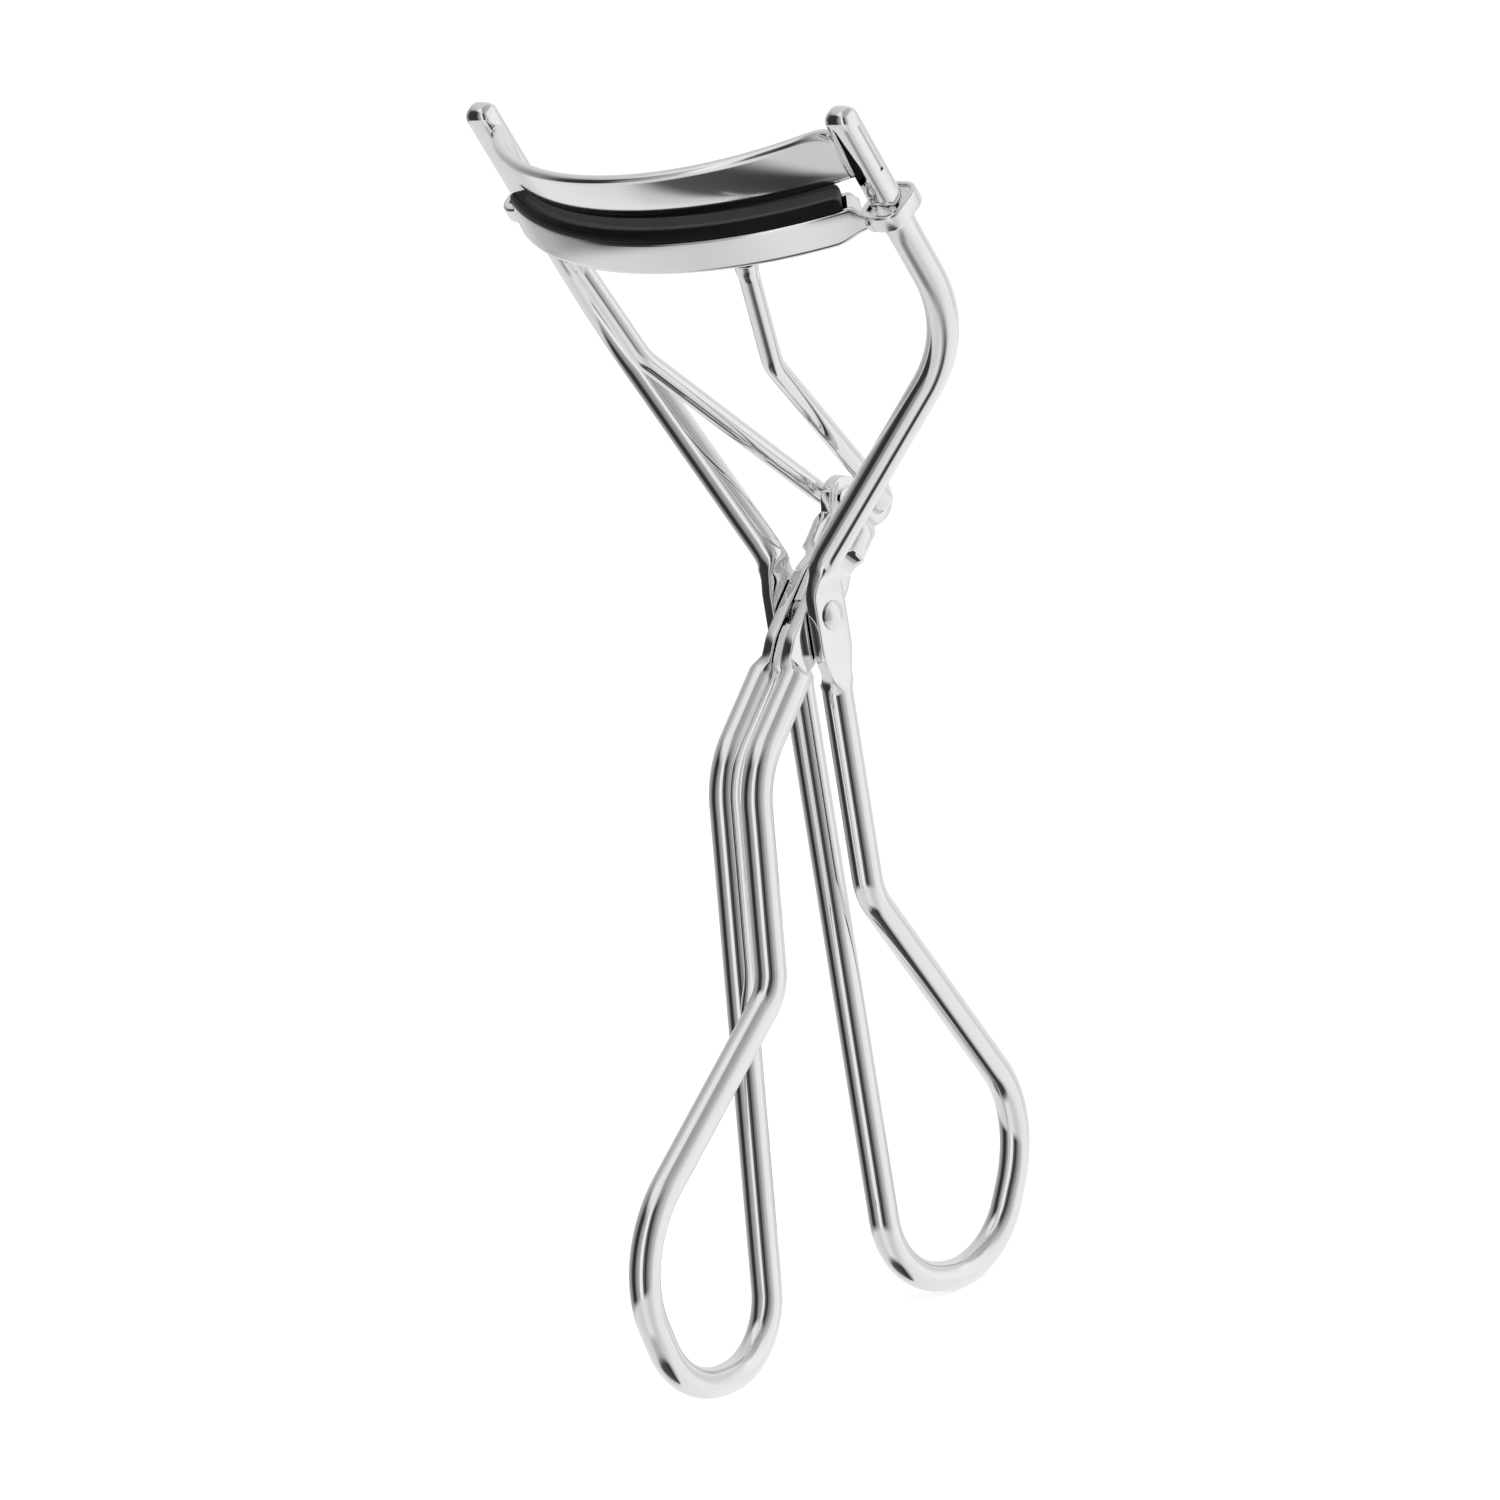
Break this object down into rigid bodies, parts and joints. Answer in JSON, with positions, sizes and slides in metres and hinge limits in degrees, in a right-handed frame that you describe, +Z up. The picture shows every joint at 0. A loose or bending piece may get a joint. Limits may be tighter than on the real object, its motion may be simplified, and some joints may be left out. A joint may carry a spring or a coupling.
{
  "type": "eyelash curler",
  "caption": "Hand-held eyelash curler of bent wire: a fixed curved plate and a sliding padded channel that close when two finger loops are squeezed together.",
  "frame": {"origin": "centre of the bounding box in X and Y, at the lowest point of the finger loops", "axes": "+Z up along the straight part of the frame's handle; X across the jaws, parallel to the pivot; -Y to the front, where the jaws bulge and the moving loop is; +Y to the back"},
  "size_m": [0.039, 0.0466, 0.0998],
  "materials": {
    "nickel_wire": "polished nickel-plated wire",
    "nickel_sheet": "satin-bright nickel-plated sheet",
    "nickel_rivet": "polished nickel-plated rivet",
    "black_rubber": "moulded silicone rubber, slightly glossy"
  },
  "bodies": {
    "frame": {"frame_wire": "nickel_wire", "upper_jaw": "nickel_sheet", "pivot_rivet_right": "nickel_rivet", "pivot_rivet_left": "nickel_rivet"},
    "lever": {"lever_wire": "nickel_wire"},
    "carriage": {"lower_jaw": "nickel_sheet", "rubber_pad": "black_rubber", "prong_right": "nickel_wire", "prong_left": "nickel_wire"}
  },
  "joints": [
    {"name": "lever_pivot", "type": "hinge", "parent": "frame", "child": "lever", "pos_m": [0, 0.00735, 0.05829], "axis": [1, 0, 0], "range_deg": [-34, 3.5]},
    {"name": "prong_pivot", "type": "hinge", "parent": "lever", "child": "carriage", "pos_m": [0, 0.01505, 0.06499], "axis": [1, 0, 0], "range_deg": [-3.5, 34]}
  ],
  "couplings": [
    {"joint": "prong_pivot", "follows": "lever_pivot", "ratio": -1}
  ]
}
